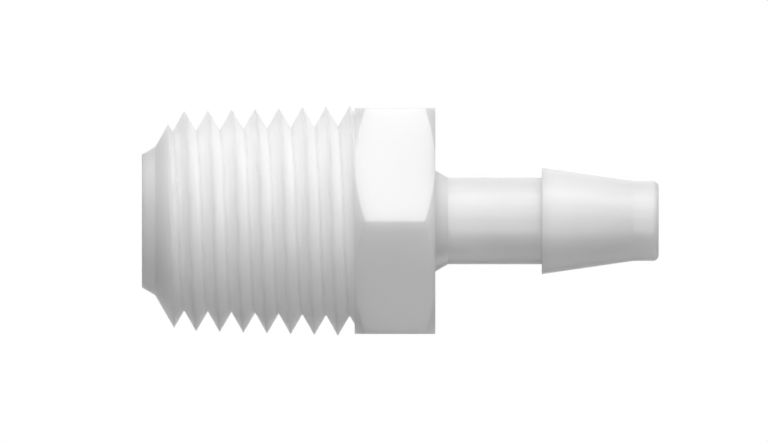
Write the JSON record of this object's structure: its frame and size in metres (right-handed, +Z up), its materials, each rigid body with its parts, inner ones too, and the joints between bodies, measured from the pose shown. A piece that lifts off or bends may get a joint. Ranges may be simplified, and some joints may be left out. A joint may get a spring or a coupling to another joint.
{
  "type": "threaded hose nipple",
  "caption": "Straight one-piece plastic hose nipple: male taper pipe thread, wrench hexagon, plain neck and a single hose barb, bored right through.",
  "frame": {"origin": "on the axis of the bore, in the plane where the thread meets the hexagon", "axes": "+X along the axis from the thread to the hose barb, the threaded end points to -X; +Z up, square to the hexagon's upper flat"},
  "size_m": [0.0309, 0.0156, 0.0136],
  "materials": {
    "white_plastic": "satin moulded, opaque white"
  },
  "bodies": {
    "root": {"hose_nipple": "white_plastic"}
  },
  "joints": []
}
